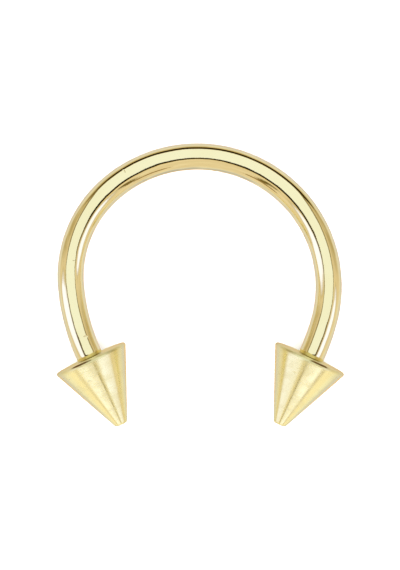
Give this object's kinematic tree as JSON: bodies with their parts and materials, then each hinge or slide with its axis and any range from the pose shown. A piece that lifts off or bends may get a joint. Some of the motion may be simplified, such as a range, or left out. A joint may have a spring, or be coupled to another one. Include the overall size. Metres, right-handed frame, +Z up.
{
  "type": "septum ring",
  "caption": "Horseshoe-shaped septum ring: a bent round wire bar with a blunt cone spike screwed onto each threaded end.",
  "frame": {"origin": "on the surface the ring lies on, below the centre of its bounding box", "axes": "+Z up, +X across the loop from the left spike to the right one, +Y towards the far side of the loop, opposite the spikes"},
  "size_m": [0.0136, 0.0134, 0.0036],
  "materials": {
    "polished_gold_coat": "polished",
    "turned_gold_coat": "satin"
  },
  "bodies": {
    "bar": {"horseshoe_bar": "polished_gold_coat"},
    "left_spike": {"left_spike": "turned_gold_coat"},
    "right_spike": {"right_spike": "turned_gold_coat"}
  },
  "joints": [
    {"name": "left_spike_off", "type": "slide", "parent": "bar", "child": "left_spike", "axis": [0.4226, -0.8998, 0.1088], "range_m": [0, 0.003]},
    {"name": "right_spike_off", "type": "slide", "parent": "bar", "child": "right_spike", "axis": [-0.4226, -0.8998, 0.1088], "range_m": [0, 0.003]}
  ]
}
